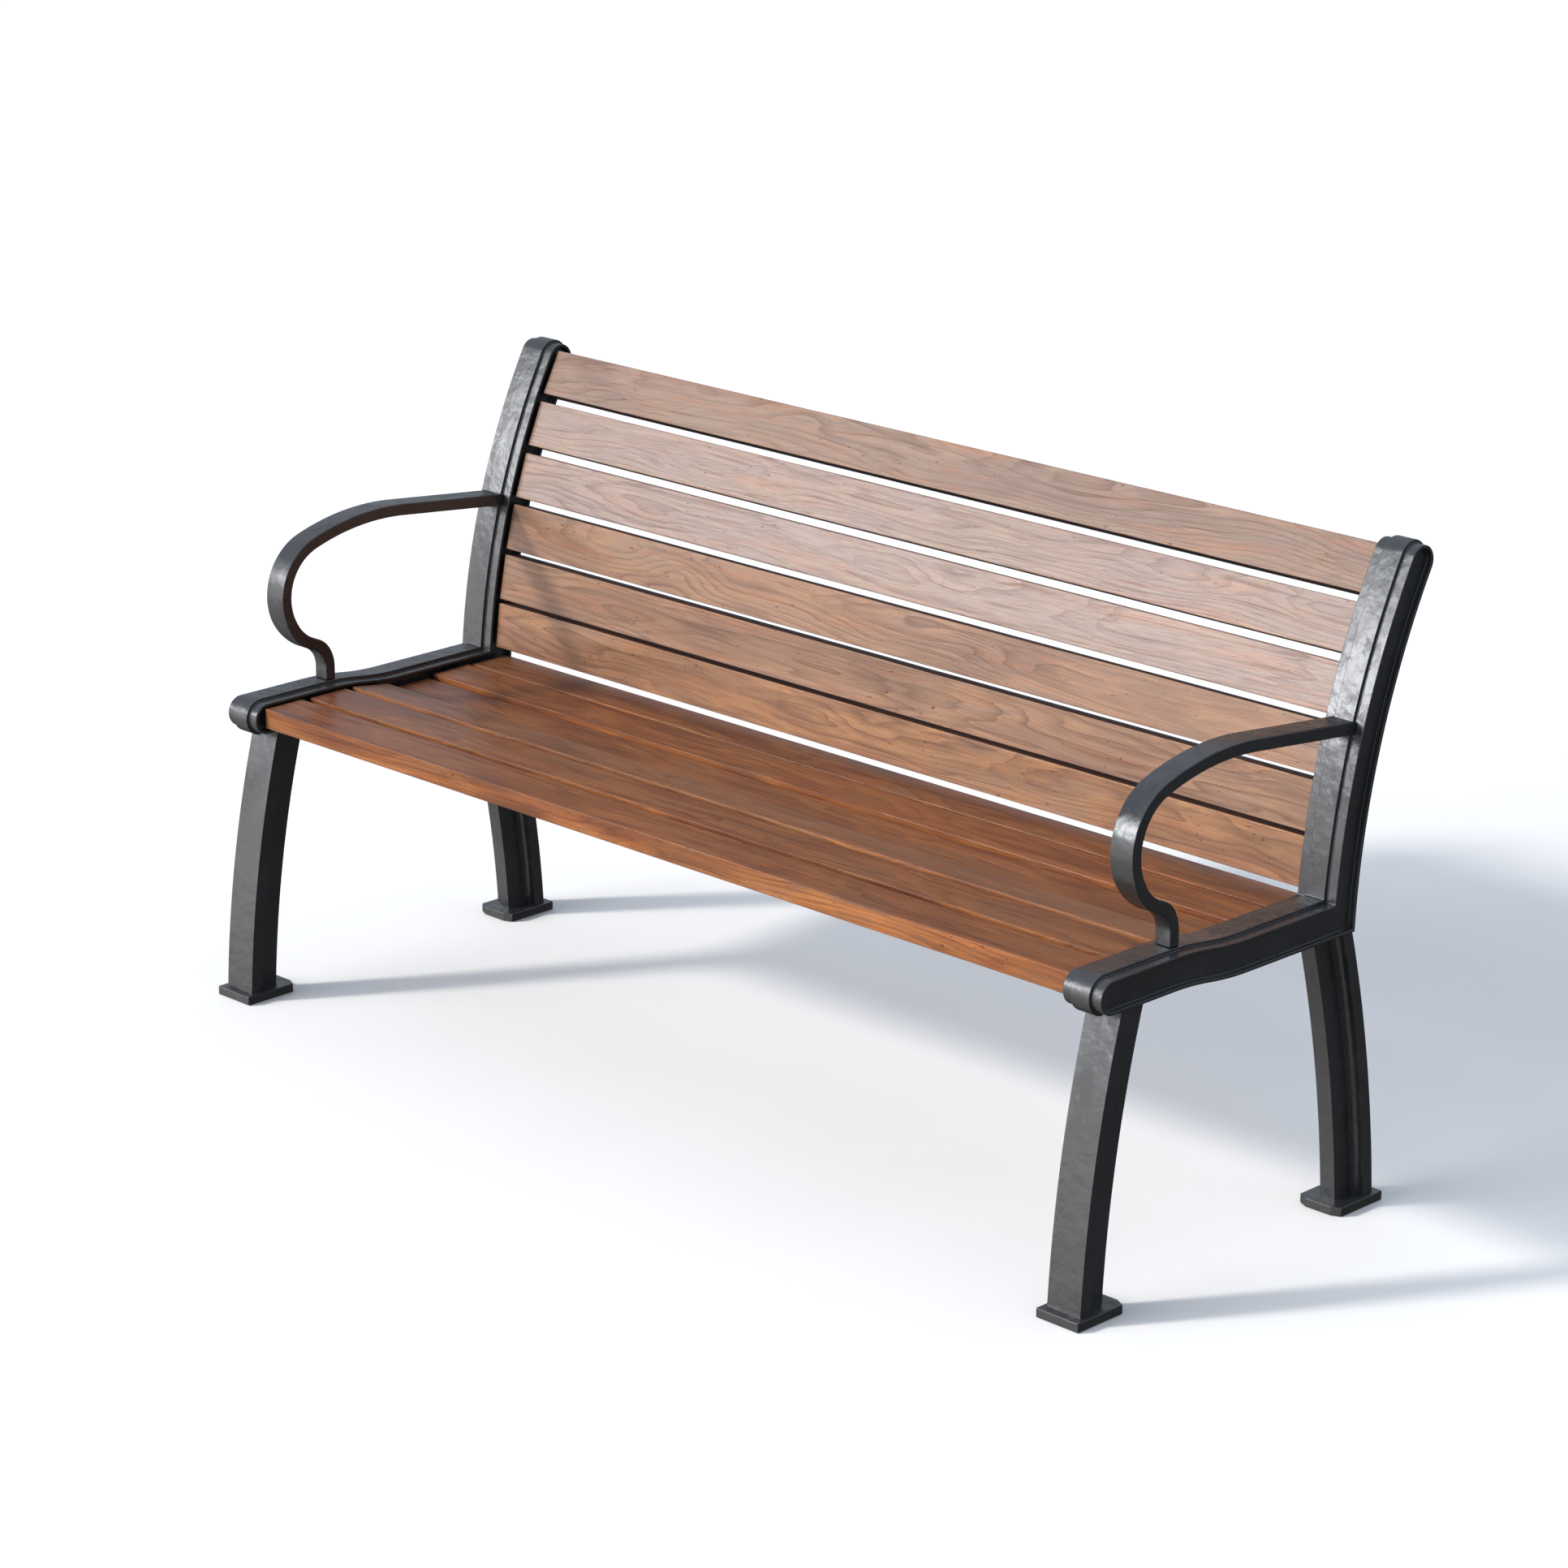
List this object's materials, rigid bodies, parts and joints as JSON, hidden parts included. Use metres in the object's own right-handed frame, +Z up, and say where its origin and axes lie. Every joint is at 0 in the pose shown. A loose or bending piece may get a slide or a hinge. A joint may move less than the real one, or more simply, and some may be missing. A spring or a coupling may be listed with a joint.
{
  "type": "garden bench",
  "caption": "Garden bench with timber slats between two cast metal end frames, curved legs on foot pads and looped armrests.",
  "frame": {"origin": "on the floor, midway between the two end frames and midway between the front edge of the front foot pads and the rearmost point of the back", "axes": "+X along the bench from the left end frame to the right one as seen from the front, +Y from front to back, +Z up"},
  "size_m": [1.565, 0.6136, 0.8227],
  "materials": {
    "frame_metal": "satin charcoal powder coat over a slightly uneven casting",
    "seat_timber": "oiled reddish brown hardwood, glossy",
    "back_timber": "oiled reddish brown hardwood, glossy",
    "screw_zinc": "zinc plated"
  },
  "bodies": {
    "root": {"left_side_frame": "frame_metal", "right_side_frame": "frame_metal", "left_front_leg": "frame_metal", "left_rear_leg": "frame_metal", "right_front_leg": "frame_metal", "right_rear_leg": "frame_metal", "left_front_foot_pad": "frame_metal", "left_rear_foot_pad": "frame_metal", "right_front_foot_pad": "frame_metal", "right_rear_foot_pad": "frame_metal", "left_armrest": "frame_metal", "right_armrest": "frame_metal", "seat_slat_1": "seat_timber", "seat_slat_2": "seat_timber", "seat_slat_3": "seat_timber", "seat_slat_4": "seat_timber", "seat_slat_5": "seat_timber", "seat_slat_6": "seat_timber", "back_slat_1": "back_timber", "back_slat_2": "back_timber", "back_slat_3": "back_timber", "back_slat_4": "back_timber", "back_slat_5": "back_timber", "back_slat_6": "back_timber", "left_seat_lugs": "frame_metal", "left_back_lugs": "frame_metal", "right_seat_lugs": "frame_metal", "right_back_lugs": "frame_metal", "seat_slat_screws": "screw_zinc", "back_slat_screws": "screw_zinc"}
  },
  "joints": []
}
